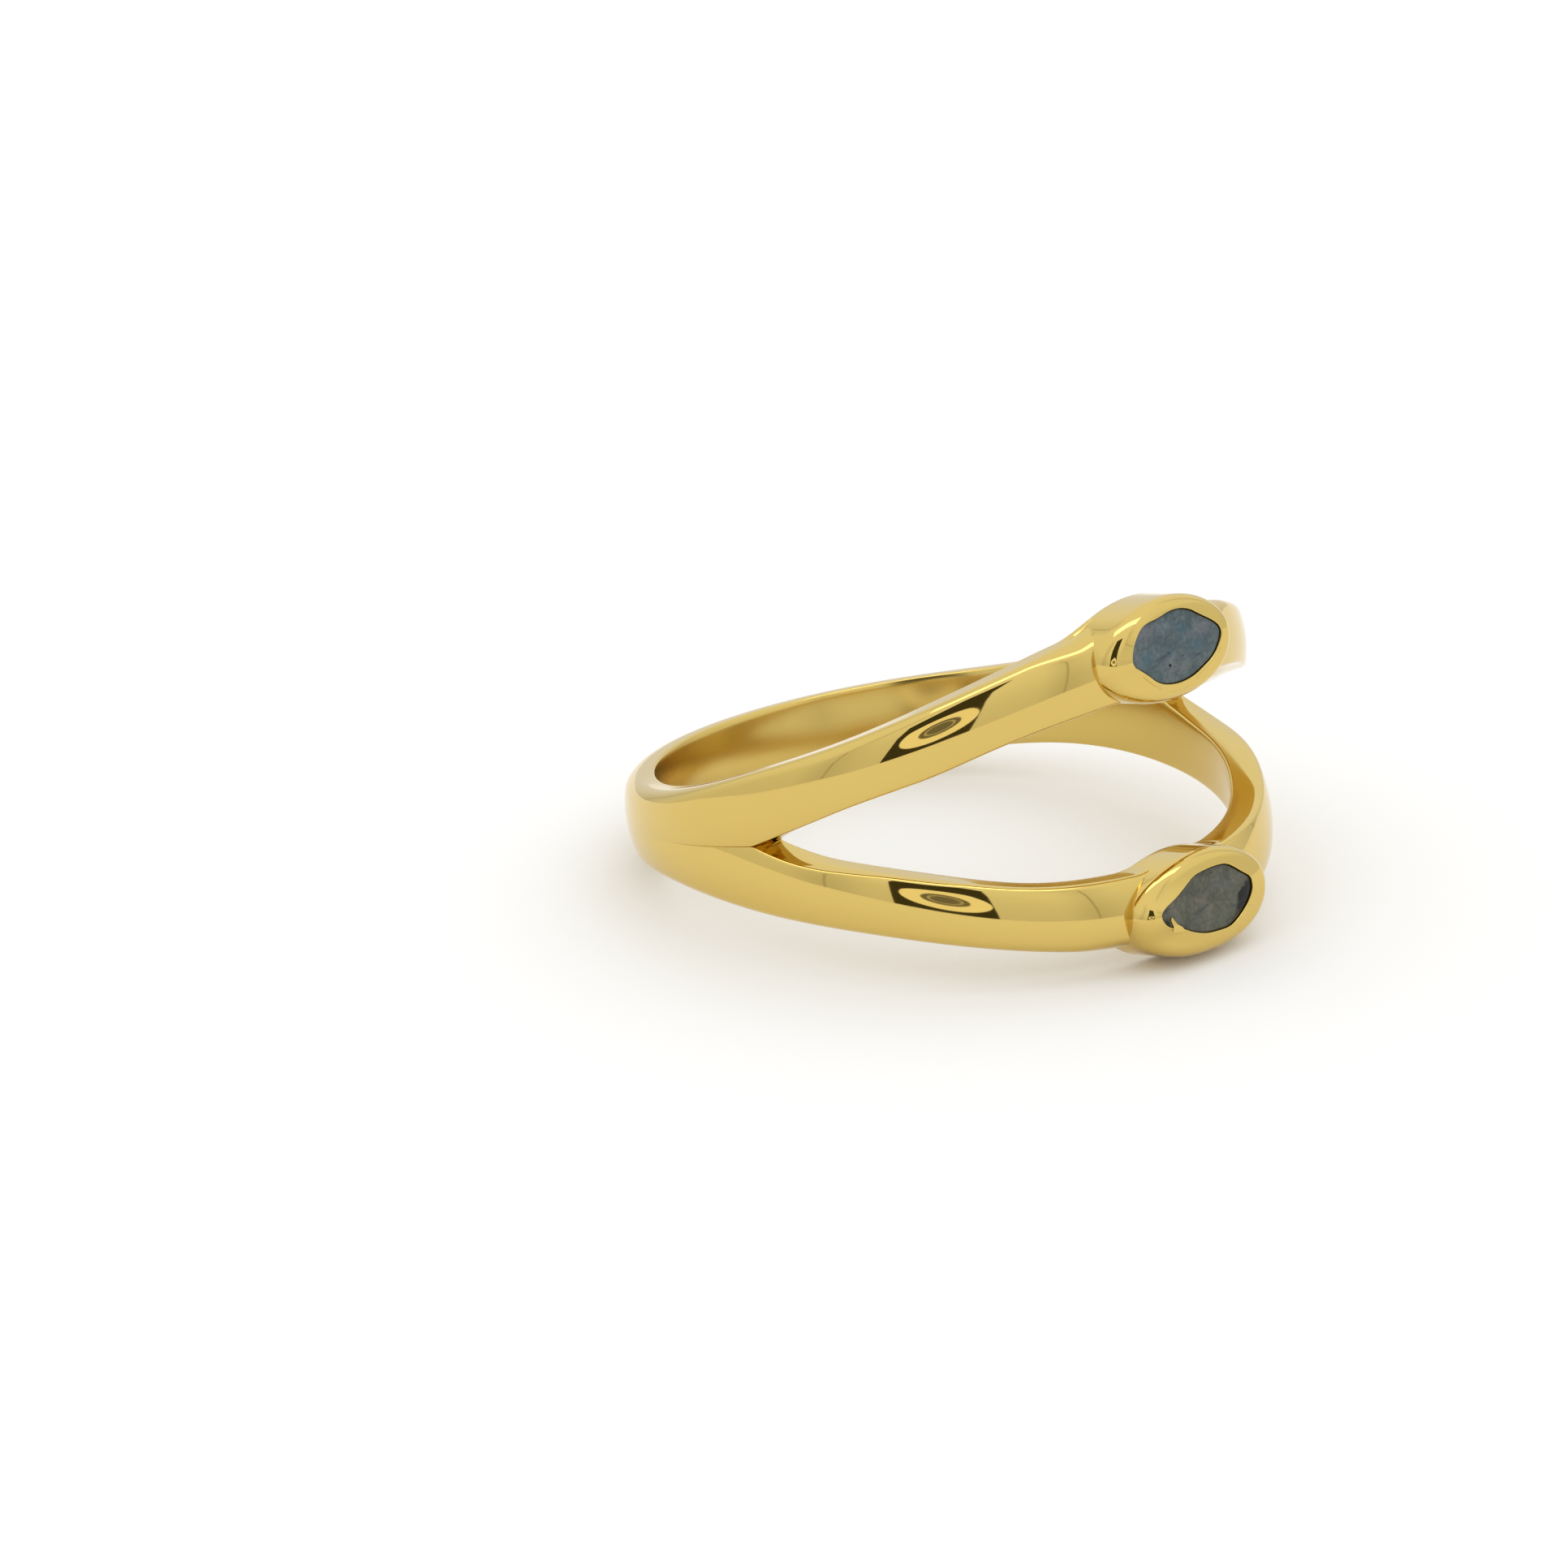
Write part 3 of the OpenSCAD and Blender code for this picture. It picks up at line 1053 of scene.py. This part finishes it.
@dataclass(frozen=True)
class Labradorite:
    """Labradorite, a feldspar, sawn to a thin tablet and polished flat."""

    name: str
    side: Side
    tones: tuple[str, str, str]
    zones: tuple[Zone, ...]
    rise: float = 3.8
    top: float = 10.38
    tone_spots: tuple[float, float, float] = (0.34, 0.5, 0.68)
    cloud_mm: float = 0.62
    shove_mm: float = 0.28
    shove_finer: float = 2.6
    sharp_mm: float = 0.12
    through_mm: float = 1000.0
    streak_turn: float = 9.0
    streak_mm: Point = (1.4, 0.12)
    streak_span: Point = (0.6, 0.7)
    streak_colour: str = "303d40"
    streak_strength: float = 0.65
    grain_mm: float = 0.11
    grain_light: Point = (0.8, 1.22)
    # The colour and strength of the painted shade along the stone's edge, under the metal.
    shade_line_colour: str = "12140c"
    shade_line_strength: float = 0.7
    gloss_span: Point = (0.35, 0.65)
    gloss_rough: Point = (0.12, 0.24)
    relief_mm: float = 0.0015
    ior: float = 1.56
    specular: float = 0.2

    def place(self, tree: bpy.types.NodeTree) -> bpy.types.Node:
        """Returns a point's place on the stone, in millimetres from the middle of its table."""
        middle = RestPose().matrix() @ Vector((0.0, -self.top, self.side.value * self.rise))
        return add(
            tree, "ShaderNodeMapping", PLACED,
            Vector=add(tree, "ShaderNodeTexCoord").outputs["Object"], Location=middle,
            Rotation=(-math.radians(RestPose().lean_deg), 0.0, 0.0), Scale=(MM, MM, MM),
        )

    def make(self) -> bpy.types.Material:
        """Returns the material: mottled grey-blue, with fine cleavage streaks under a glassy polish, and
        painted shade along its edge.
        """
        material, tree = blank_material(self.name)
        place = self.place(tree)

        # Clouds of twinned crystal, a good half millimetre across.
        clouds = add(
            tree, "ShaderNodeTexNoise", Vector=place, Scale=1 / self.cloud_mm, Detail=5.0, Roughness=0.62,
        )
        colour = add(tree, "ShaderNodeValToRGB", Fac=clouds)
        set_stops(colour, zip(self.tone_spots, map(linear, self.tones)))

        # The zones' edges are broken up by finer clouds, as the blue sheen's are.
        shove = add(
            tree, "ShaderNodeTexNoise", Vector=place, Scale=self.shove_finer / self.cloud_mm, Detail=3.0,
        ).outputs["Color"]
        level = add(tree, "ShaderNodeVectorMath", {"operation": "SUBTRACT"}, n0=shove, n1=(0.5, 0.5, 0.5))
        nudge = add(tree, "ShaderNodeVectorMath", {"operation": "SCALE"}, n0=level, Scale=self.shove_mm)
        broken = add(tree, "ShaderNodeVectorMath", n0=place, n1=nudge)
        for zone in self.zones:
            (x, z), (wide, high) = zone.middle, zone.radii
            sharp = max(wide, high) < self.sharp_mm
            near = add(
                tree, "ShaderNodeMapping", PLACED, Vector=place if sharp else broken, Location=(x, 0.0, z),
                Rotation=(0.0, math.radians(zone.turn_deg), 0.0), Scale=(wide, self.through_mm, high),
            )
            far = add(tree, "ShaderNodeVectorMath", {"operation": "LENGTH"}, n0=near).outputs["Value"]
            span = (1.0, 1.0 - zone.softness)
            mask = add(tree, "ShaderNodeMapRange", SMOOTH, Value=far, **ranges(span, (0.0, zone.strength)))
            colour = add(
                tree, "ShaderNodeMix", RGBA, n0=mask, n6=colour, n7=linear(zone.colour),
            ).outputs[2]

        # Cleavage shows as fine darker streaks that rise gently to the right.
        along = add(
            tree, "ShaderNodeMapping", PLACED, Vector=place,
            Rotation=(0.0, -math.radians(self.streak_turn), 0.0),
            Scale=(self.streak_mm[0], 1.0, self.streak_mm[1]),
        )
        streaks = add(tree, "ShaderNodeTexNoise", Vector=along, Scale=1.0, Detail=2.0)
        thin = add(
            tree, "ShaderNodeMapRange", SMOOTH, Value=streaks,
            **ranges(self.streak_span, (0.0, self.streak_strength)),
        )
        colour = add(
            tree, "ShaderNodeMix", RGBA, n0=thin, n6=colour, n7=linear(self.streak_colour),
        ).outputs[2]
        # Its grain of a tenth of a millimetre is drawn as small lighter and darker spots.
        grain = add(tree, "ShaderNodeTexNoise", Vector=place, Scale=1 / self.grain_mm, Detail=2.0)
        bright = add(tree, "ShaderNodeMapRange", Value=grain, **ranges(NOISE_SPAN, self.grain_light))
        colour = add(
            tree, "ShaderNodeMix", RGBA | {"blend_type": "MULTIPLY"}, n0=1.0, n6=colour, n7=bright,
        ).outputs[2]
        # A dark line of painted shade darkens the stone's edge, standing for the shadow where the metal is
        # pressed against the stone.
        edge = add(tree, "ShaderNodeAttribute", {"attribute_name": "edge"}).outputs["Fac"]
        rim = add(tree, "ShaderNodeMath", {"operation": "MULTIPLY"}, n0=edge, n1=self.shade_line_strength)
        colour = add(
            tree, "ShaderNodeMix", RGBA, n0=rim, n6=colour, n7=linear(self.shade_line_colour),
        ).outputs[2]
        gloss = add(tree, "ShaderNodeMapRange", Value=clouds, **ranges(self.gloss_span, self.gloss_rough))
        # The polish leaves the grain standing about a micrometre proud.
        relief = add(tree, "ShaderNodeBump", Height=grain, Strength=1.0, Distance=self.relief_mm * MM)
        shader = add(
            tree, "ShaderNodeBsdfPrincipled", Base_Color=colour, Roughness=gloss, IOR=self.ior,
            Specular_IOR_Level=self.specular, Normal=relief,
        )
        add(tree, "ShaderNodeOutputMaterial", Surface=shader)
        return material


# Each stone's darkest, middle and palest tone.
UPPER_TONES = ("425155", "4c585a", "5d6467")
LOWER_TONES = ("44463b", "505044", "5e5b50")
# Marks: the black inclusion, the small dark clumps, the blue sheen and the paler patches.
UPPER_ZONES: tuple[Zone, ...] = (
    Zone((-1.09, 0.70), (0.75, 0.42), "6a6870", 0.55),
    Zone((-0.25, 0.72), (0.5, 0.3), "626d72", 0.55),
    Zone((1.35, 0.30), (0.6, 0.3), "64666d", 0.5),
    Zone((0.30, -0.62), (0.55, 0.28), "636966", 0.55),
    Zone((0.42, 0.52), (0.45, 0.4), "3c5864", 0.6),
    Zone((1.00, -0.12), (0.75, 0.5), "3a545e", 0.55),
    Zone((-1.15, -0.05), (0.5, 0.42), "435f6a", 0.6),
    Zone((-0.20, -0.10), (0.4, 0.22), "37515d", 0.6),
    Zone((-0.23, -0.08), (0.1, 0.05), "17262e", 0.75, 0.8, 20.0),
    Zone((-0.17, -0.18), (0.07, 0.04), "1b2c34", 0.6, 0.8),
    Zone((0.36, -0.29), (0.1, 0.03), "1d2b30", 0.7, 0.8, 5.0),
    Zone((0.24, 0.84), (0.07, 0.05), "1e3038", 0.7, 0.8),
    Zone((0.41, 0.67), (0.1, 0.03), "20323b", 0.6, 0.8),
    Zone((-1.05, 0.28), (0.62, 0.022), "27363a", 0.6, 0.8, -4.0),
    Zone((0.75, -0.42), (0.55, 0.016), "3c4849", 0.5, 0.8, 12.0),
    Zone((-0.23, -0.45), (0.065, 0.06), "020405", 1.0, 0.3),
)
# The lower stone's list also holds painted shade at both of its ends.
LOWER_ZONES_AND_SHADE: tuple[Zone, ...] = (
    Zone((-0.36, 0.17), (0.45, 0.25), "72675b", 0.5),
    Zone((0.45, 0.45), (0.6, 0.4), "555a55", 0.5),
    Zone((-0.75, 0.42), (0.4, 0.06), "3f4741", 0.6, 0.8, 15.0),
    Zone((0.20, 0.18), (0.2, 0.05), "43494b", 0.55, 0.8, 40.0),
    Zone((0.97, 0.20), (0.12, 0.25), "444b51", 0.55),
    Zone((0.17, 0.82), (0.1, 0.06), "3a2a1c", 0.6),
    Zone((-1.03, -0.29), (0.05, 0.08), "2a3531", 0.6),
    Zone((0.2, -0.55), (1.0, 0.35), "545748", 0.45),
    # Painted shade over the right end, which lies deep under the rim.
    Zone((1.52, -0.28), (0.86, 0.36), "060a02", 0.98, 0.35, -48.0),
    Zone((0.95, -0.78), (0.42, 0.17), "33290f", 0.85, 0.8, -33.0),
    # Painted shade beside the folded tip at the left end.
    Zone((-1.95, -0.20), (0.24, 0.26), "101508", 0.92, 0.7),
)


@dataclass
class Tent:
    """The inside of the light tent, which is seen only in the polish of the metal and the stones.

    It is a box turned about the ring, with seams at its corners, a dark flap at its front wall, a
    ring light and a lens in the flap's opening, and a lamp under its roof.
    """

    turn_deg: float = 47.0
    left_mm: float = -130.0
    right_mm: float = 179.0
    front_mm: float = -150.0
    back_mm: float = 160.0
    roof_mm: float = 270.0
    seam_r: float = 2.5
    seam_sides: int = 8
    seam_glow: Colour = (0.55, 0.53, 0.48)
    corner_mm: float = 70.0
    corner_light: float = 0.84
    # The cloth's light at a share of its height.
    cloth_stops: tuple[tuple[float, Colour], ...] = (
        (0.0, (0.84, 0.85, 0.86)),
        (0.15, (0.90, 0.92, 0.93)),
        (0.32, (1.02, 1.05, 1.08)),
        (1.0, (1.08, 1.10, 1.14)),
    )
    flap_sides: Point = (-48.0, 41.0)
    flap_top: float = 250.0
    flap_glow: Colour = (0.06, 0.055, 0.03)
    opening_mm: float = 34.0
    oval_sides: int = 64
    ring_outer: Point = (39.5, 26.5)
    ring_glow: Colour = (1.0, 0.97, 0.9)
    # Each ring in the opening, with its outer and inner share of the largest one, and its strength.
    rings: tuple[tuple[str, float, float, float], ...] = (
        ("ring_light", 1.0, 0.53, 1.2),
        ("lens_barrel", 0.53, 0.39, 0.2),
        ("lens_rim", 0.39, 0.33, 0.6),
        ("lens_glass", 0.33, 0.0066, 0.22),
    )
    lamp_half: Point = (125.0, 32.0)
    lamp_mm: float = 262.0
    lamp_glow: Colour = (1.0, 1.0, 1.0)
    lamp_strength: float = 2.8
    stand_off: float = 1.0

    def hang(self, name: str, mesh: bmesh.types.BMesh, material: bpy.types.Material) -> None:
        """Turns a piece of the tent into place, in metres, and shows it only to reflections.

        Args:
            name: the piece's name.
            mesh: the mesh in millimetres, with the front wall towards -Y.
            material: what it glows with.
        """
        turned = Matrix.Rotation(-math.radians(self.turn_deg), 3, "Z")
        bmesh.ops.rotate(mesh, verts=mesh.verts, cent=(0, 0, 0), matrix=turned)
        bmesh.ops.scale(mesh, verts=mesh.verts, vec=(MM, MM, MM))
        piece = new_object(name, mesh)
        piece.data.materials.append(material)
        for kind in ("camera", "diffuse", "transmission", "volume_scatter", "shadow"):
            setattr(piece, f"visible_{kind}", False)

    def glow(self, name: str, colour: Sequence[float], strength: float = 1.0) -> bpy.types.Material:
        """Makes a plain glowing material.

        Args:
            name: the material's name.
            colour: linear red, green and blue.
            strength: what the colour is multiplied by.

        Returns:
            The material.
        """
        material, tree = blank_material(name)
        light = add(tree, "ShaderNodeEmission", Color=(*colour, 1.0), Strength=strength)
        add(tree, "ShaderNodeOutputMaterial", Surface=light)
        return material

    def cloth(self) -> bpy.types.Material:
        """Makes the tent's cloth: dimmer near the table and in its corners, brighter near the roof."""
        material, tree = blank_material("white_tent_cloth")
        place = add(tree, "ShaderNodeTexCoord").outputs["Object"]
        turn = (0.0, 0.0, math.radians(self.turn_deg))
        turned = add(tree, "ShaderNodeMapping", Vector=place, Rotation=turn)
        axes = add(tree, "ShaderNodeSeparateXYZ", Vector=turned).outputs
        share = add(tree, "ShaderNodeMapRange", Value=axes["Z"], **ranges((0.0, self.roof_mm * MM)))
        light = add(tree, "ShaderNodeValToRGB", Fac=share)
        set_stops(light, self.cloth_stops)
        corner = 1.0
        for axis, low, high in (("X", self.left_mm, self.right_mm), ("Y", self.front_mm, self.back_mm)):
            middle, half = MM * (low + high) / 2, MM * (high - low) / 2
            off = add(tree, "ShaderNodeMath", {"operation": "SUBTRACT"}, n0=axes[axis], n1=middle)
            far = add(tree, "ShaderNodeMath", {"operation": "ABSOLUTE"}, n0=off)
            near = add(
                tree, "ShaderNodeMapRange", SMOOTH, Value=far, **ranges((half - self.corner_mm * MM, half)),
            )
            corner = add(tree, "ShaderNodeMath", {"operation": "MULTIPLY"}, n0=corner, n1=near)
        dim = add(
            tree, "ShaderNodeMapRange", Value=corner, **ranges((0.0, 1.0), (1.0, self.corner_light)),
        )
        glow = add(tree, "ShaderNodeEmission", Color=light, Strength=dim)
        add(tree, "ShaderNodeOutputMaterial", Surface=glow)
        return material

    def oval(self, radii: Point, hole: float) -> bmesh.types.BMesh:
        """Makes an upright oval sheet with a hole, round the origin.

        Args:
            radii: half its width and half its height.
            hole: the hole's share of its size.

        Returns:
            The sheet's mesh, facing along Y.
        """
        mesh = bmesh.new()
        bmesh.ops.create_circle(mesh, cap_ends=False, segments=self.oval_sides, radius=1.0)
        grown = bmesh.ops.extrude_edge_only(mesh, edges=list(mesh.edges))["geom"]
        bmesh.ops.scale(mesh, verts=[g for g in grown if isinstance(g, bmesh.types.BMVert)], vec=(hole,) * 3)
        bmesh.ops.rotate(mesh, verts=mesh.verts, cent=(0, 0, 0), matrix=UPRIGHT)
        bmesh.ops.scale(mesh, verts=mesh.verts, vec=(radii[0], 1.0, radii[1]))
        return mesh

    def build(self) -> None:
        """Hangs every piece of the tent."""
        box = bmesh.new()
        bmesh.ops.create_cube(box, size=1.0)
        low = (self.left_mm, self.front_mm, 0.0)
        high = (self.right_mm, self.back_mm, self.roof_mm)
        bmesh.ops.scale(box, verts=box.verts, vec=[h - l for l, h in zip(low, high)])
        bmesh.ops.translate(box, verts=box.verts, vec=[(l + h) / 2 for l, h in zip(low, high)])
        under = [f for f in box.faces if f.calc_center_median().z < 1.0]
        bmesh.ops.delete(box, geom=under, context="FACES")
        self.hang("tent_cloth", box, self.cloth())

        seams = bmesh.new()
        for x in (self.left_mm, self.right_mm):
            for y in (self.front_mm, self.back_mm):
                place = Matrix.Translation((x, y, self.roof_mm / 2))
                bmesh.ops.create_cone(
                    seams, cap_ends=False, segments=self.seam_sides, radius1=self.seam_r, radius2=self.seam_r,
                    depth=self.roof_mm, matrix=place,
                )
        self.hang("tent_seams", seams, self.glow("folded_tent_seam", self.seam_glow))

        flap = bmesh.new()
        bmesh.ops.create_grid(flap, x_segments=1, y_segments=1, size=0.5)
        bmesh.ops.rotate(flap, verts=flap.verts, cent=(0, 0, 0), matrix=UPRIGHT)
        left, right = self.flap_sides
        bmesh.ops.scale(flap, verts=flap.verts, vec=(right - left, 1.0, self.flap_top))
        near = self.front_mm + self.stand_off
        bmesh.ops.translate(flap, verts=flap.verts, vec=((left + right) / 2, near, self.flap_top / 2))
        self.hang("tent_flap", flap, self.glow("black_flap_cloth", self.flap_glow))

        wide, high = self.ring_outer
        for name, outer, inner, strength in self.rings:
            sheet = self.oval((wide * outer, high * outer), inner / outer)
            bmesh.ops.translate(sheet, verts=sheet.verts, vec=(0, near + self.stand_off, self.opening_mm))
            self.hang(name, sheet, self.glow(f"{name}_reflection", self.ring_glow, strength))

        lamp = bmesh.new()
        bmesh.ops.create_grid(lamp, x_segments=1, y_segments=1, size=1.0)
        bmesh.ops.scale(lamp, verts=lamp.verts, vec=(*self.lamp_half, 1.0))
        bmesh.ops.translate(lamp, verts=lamp.verts, vec=(0, 0, self.lamp_mm))
        self.hang("roof_lamp", lamp, self.glow("roof_lamp_diffuser", self.lamp_glow, self.lamp_strength))


@dataclass
class Studio:
    """The table, the soft light and the camera."""

    camera_mm: Sequence[float] = (-105.649, -99.303, 55.579)
    right: Sequence[float] = (0.7089826, -0.7051641, -0.0093432)
    down: Sequence[float] = (-0.2467469, -0.2356284, -0.9399975)
    lens: float = 115.61
    sensor: float = 36.0
    table_half: float = 3.0
    table_tone: str = "f5f5f4"
    sky_strength: float = 1.15

    def camera(self) -> None:
        """Sets up the camera where the photograph was taken from."""
        data = bpy.data.cameras.new("camera")
        data.lens = self.lens
        data.sensor_width = self.sensor
        data.sensor_fit = "HORIZONTAL"
        data.clip_start = MM
        camera = bpy.data.objects.new("camera", data)
        right = Vector(self.right).normalized()
        up = -Vector(self.down)
        up = (up - right * up.dot(right)).normalized()
        back = right.cross(up)
        turn = Matrix((right, up, back)).transposed().to_4x4()
        camera.matrix_world = Matrix.Translation(Vector(self.camera_mm) * MM) @ turn
        bpy.context.scene.collection.objects.link(camera)
        bpy.context.scene.camera = camera

    def table(self) -> None:
        """Lays the pale table."""
        mesh = bmesh.new()
        bmesh.ops.create_grid(mesh, x_segments=1, y_segments=1, size=self.table_half)
        table = new_object("table", mesh)
        material, tree = blank_material("white_table_paper")
        shader = add(
            tree, "ShaderNodeBsdfPrincipled",
            Base_Color=linear(self.table_tone), Roughness=1.0, Specular_IOR_Level=0.0,
        )
        add(tree, "ShaderNodeOutputMaterial", Surface=shader)
        table.data.materials.append(material)

    def sky(self) -> None:
        """Lights everything evenly, as the cloth of a white tent does."""
        world = bpy.data.worlds.new("tent")
        bpy.context.scene.world = world
        world.use_nodes = True
        tree = world.node_tree
        tree.nodes.clear()
        glow = add(tree, "ShaderNodeBackground", Color=(1.0, 1.0, 1.0, 1.0), Strength=self.sky_strength)
        add(tree, "ShaderNodeOutputWorld", Surface=glow)

    def build(self) -> None:
        """Sets up the whole studio."""
        self.camera()
        self.table()
        self.sky()
        Tent().build()
        bpy.context.scene.view_settings.view_transform = "Standard"


def main() -> None:
    """Builds the studio, the metal and both stones."""
    logging.basicConfig(level=logging.INFO, format="%(name)s: %(message)s")
    Studio().build()
    casting = Casting().build()
    casting.data.materials.clear()
    casting.data.materials.append(GoldPlate().make())
    LOG.info("%s: %d faces", casting.name, len(casting.data.polygons))
    for tablet, finish in (
        (
            Tablet(Side.UPPER, "blue_tablet", "upper_stone", "blue_labradorite"),
            Labradorite("polished_blue_labradorite", Side.UPPER, UPPER_TONES, UPPER_ZONES),
        ),
        (
            Tablet(Side.LOWER, "grey_tablet", "lower_stone", "grey_labradorite"),
            Labradorite("polished_grey_labradorite", Side.LOWER, LOWER_TONES, LOWER_ZONES_AND_SHADE),
        ),
    ):
        stone = tablet.build()
        stone.data.materials.append(finish.make())
        LOG.info("%s: %d faces", stone.name, len(stone.data.polygons))


if __name__ == "__main__":
    main()
